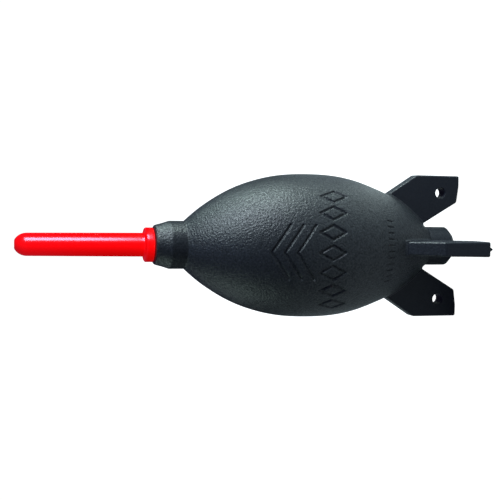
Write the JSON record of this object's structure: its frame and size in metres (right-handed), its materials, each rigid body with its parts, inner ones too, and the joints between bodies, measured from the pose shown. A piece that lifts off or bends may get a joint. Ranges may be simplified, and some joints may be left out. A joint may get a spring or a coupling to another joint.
{
  "type": "dust blower bulb",
  "caption": "Hollow rubber squeeze bulb with tail fins to stand on, a push-in plastic nozzle and an intake check valve in its tail; squeezed by hand, it blows dust off small parts.",
  "frame": {"origin": "on the bulb's axis, in the plane of the fins' feet", "axes": "+Z along the axis from the tail up to the nozzle's tip; +X and +Y each run out through the middle of a fin"},
  "size_m": [0.062, 0.062, 0.19],
  "materials": {
    "rubber": "matte, fine moulded grain",
    "nozzle_plastic": "gloss",
    "valve_plastic": "satin",
    "silicone": "soft matte",
    "cage_plastic": "satin"
  },
  "bodies": {
    "bulb": {"bulb_body": "rubber"},
    "nozzle": {"nozzle": "nozzle_plastic"},
    "valve": {"valve_housing": "valve_plastic", "valve_cage": "cage_plastic"},
    "valve_disc": {"valve_disc": "silicone"}
  },
  "joints": [
    {"name": "nozzle_pull", "type": "slide", "parent": "bulb", "child": "nozzle", "axis": [0, 0, 1], "range_m": [0, 0.016]},
    {"name": "valve_pull", "type": "slide", "parent": "bulb", "child": "valve", "axis": [0, 0, -1], "range_m": [0, 0.012]},
    {"name": "disc_lift", "type": "slide", "parent": "valve", "child": "valve_disc", "axis": [0, 0, 1], "range_m": [0, 0.0014]}
  ]
}
